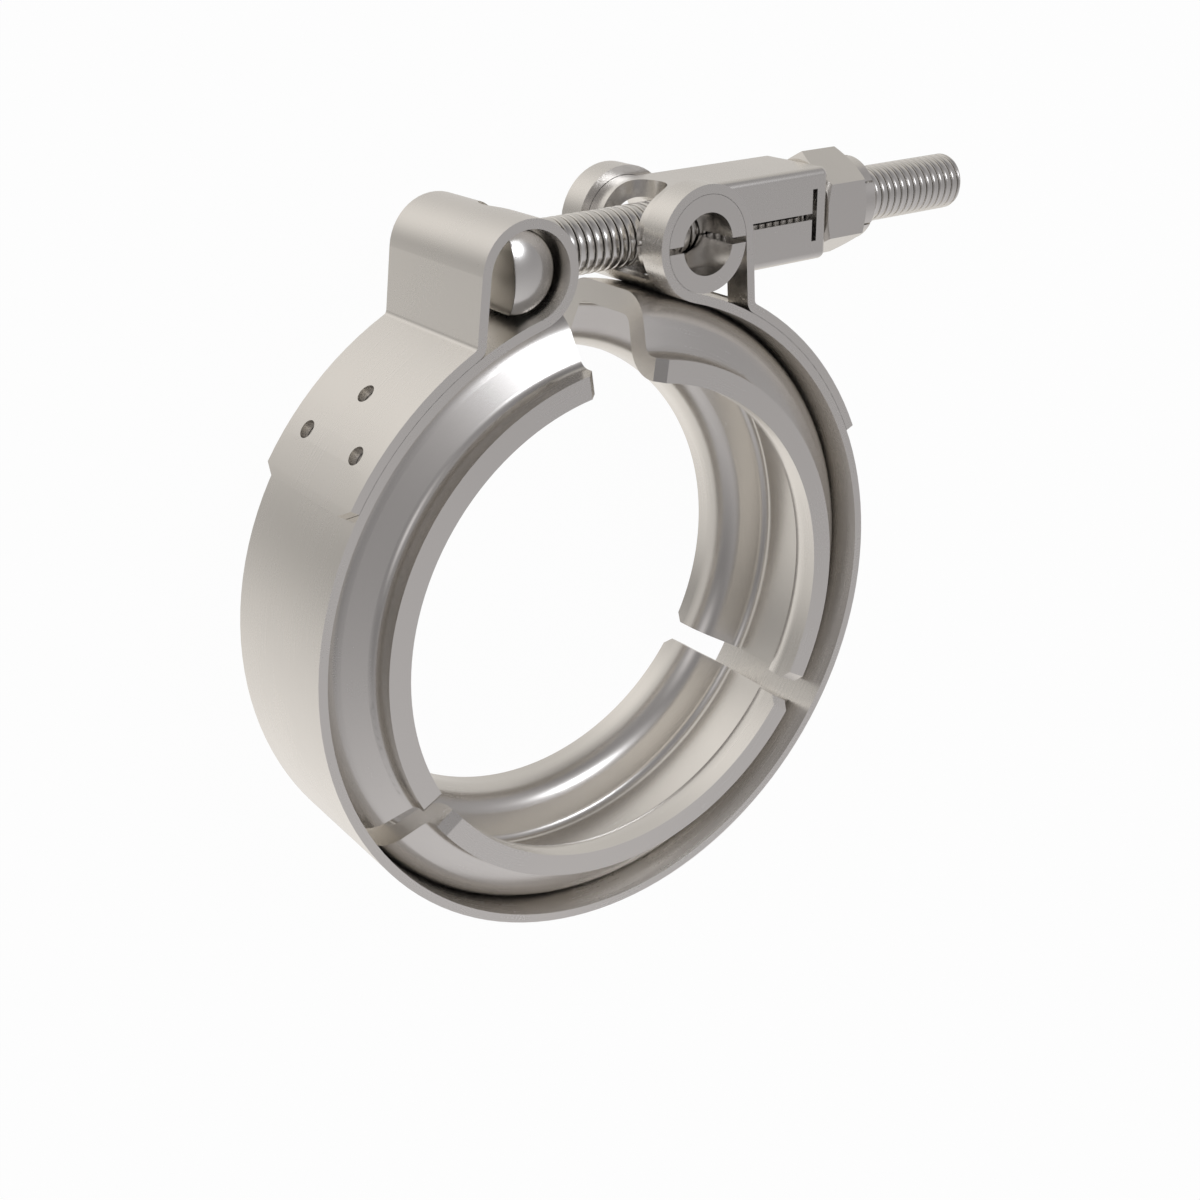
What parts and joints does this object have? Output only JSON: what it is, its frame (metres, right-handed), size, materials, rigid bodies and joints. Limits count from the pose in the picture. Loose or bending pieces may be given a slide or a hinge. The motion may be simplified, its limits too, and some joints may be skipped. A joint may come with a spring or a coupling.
{
  "type": "charge air cooler clamp",
  "caption": "V-groove pipe clamp: a steel band lined with grooved retainer segments, closed by a T-bolt through a folded trunnion sleeve and a lock nut.",
  "frame": {"origin": "on the pipe axis, midway between the two end faces of the clamp", "axes": "+Z along the pipe axis, +X along the bolt from its head to its nut, +Y from the pipe axis towards the bolt"},
  "size_m": [0.116, 0.1029, 0.0268],
  "materials": {
    "band_steel": "satin rolled stainless",
    "retainer_steel": "satin pressed stainless",
    "bolt_steel": "bright stainless",
    "sleeve_steel": "satin folded stainless",
    "nut_steel": "satin stainless"
  },
  "bodies": {
    "clamp_band": {"outer_band": "band_steel", "retainer_left": "retainer_steel", "retainer_bottom": "retainer_steel", "retainer_right": "retainer_steel"},
    "bolt": {"t_bolt": "bolt_steel"},
    "sleeve": {"trunnion_sleeve": "sleeve_steel"},
    "nut": {"lock_nut": "nut_steel"}
  },
  "joints": [
    {"name": "bolt_swing", "type": "hinge", "parent": "clamp_band", "child": "bolt", "pos_m": [-0.0125, 0.04969, 0], "axis": [0, 0, 1], "range_deg": [-0.5, 0.5]},
    {"name": "sleeve_swivel", "type": "hinge", "parent": "clamp_band", "child": "sleeve", "pos_m": [0.01504, 0.04969, 0], "axis": [0, 0, 1], "range_deg": [-0.5, 0.5]},
    {"name": "nut_travel", "type": "slide", "parent": "bolt", "child": "nut", "axis": [1, 0, 0], "range_m": [0, 0.01875]}
  ],
  "couplings": [
    {"joint": "sleeve_swivel", "follows": "bolt_swing", "ratio": 1}
  ]
}
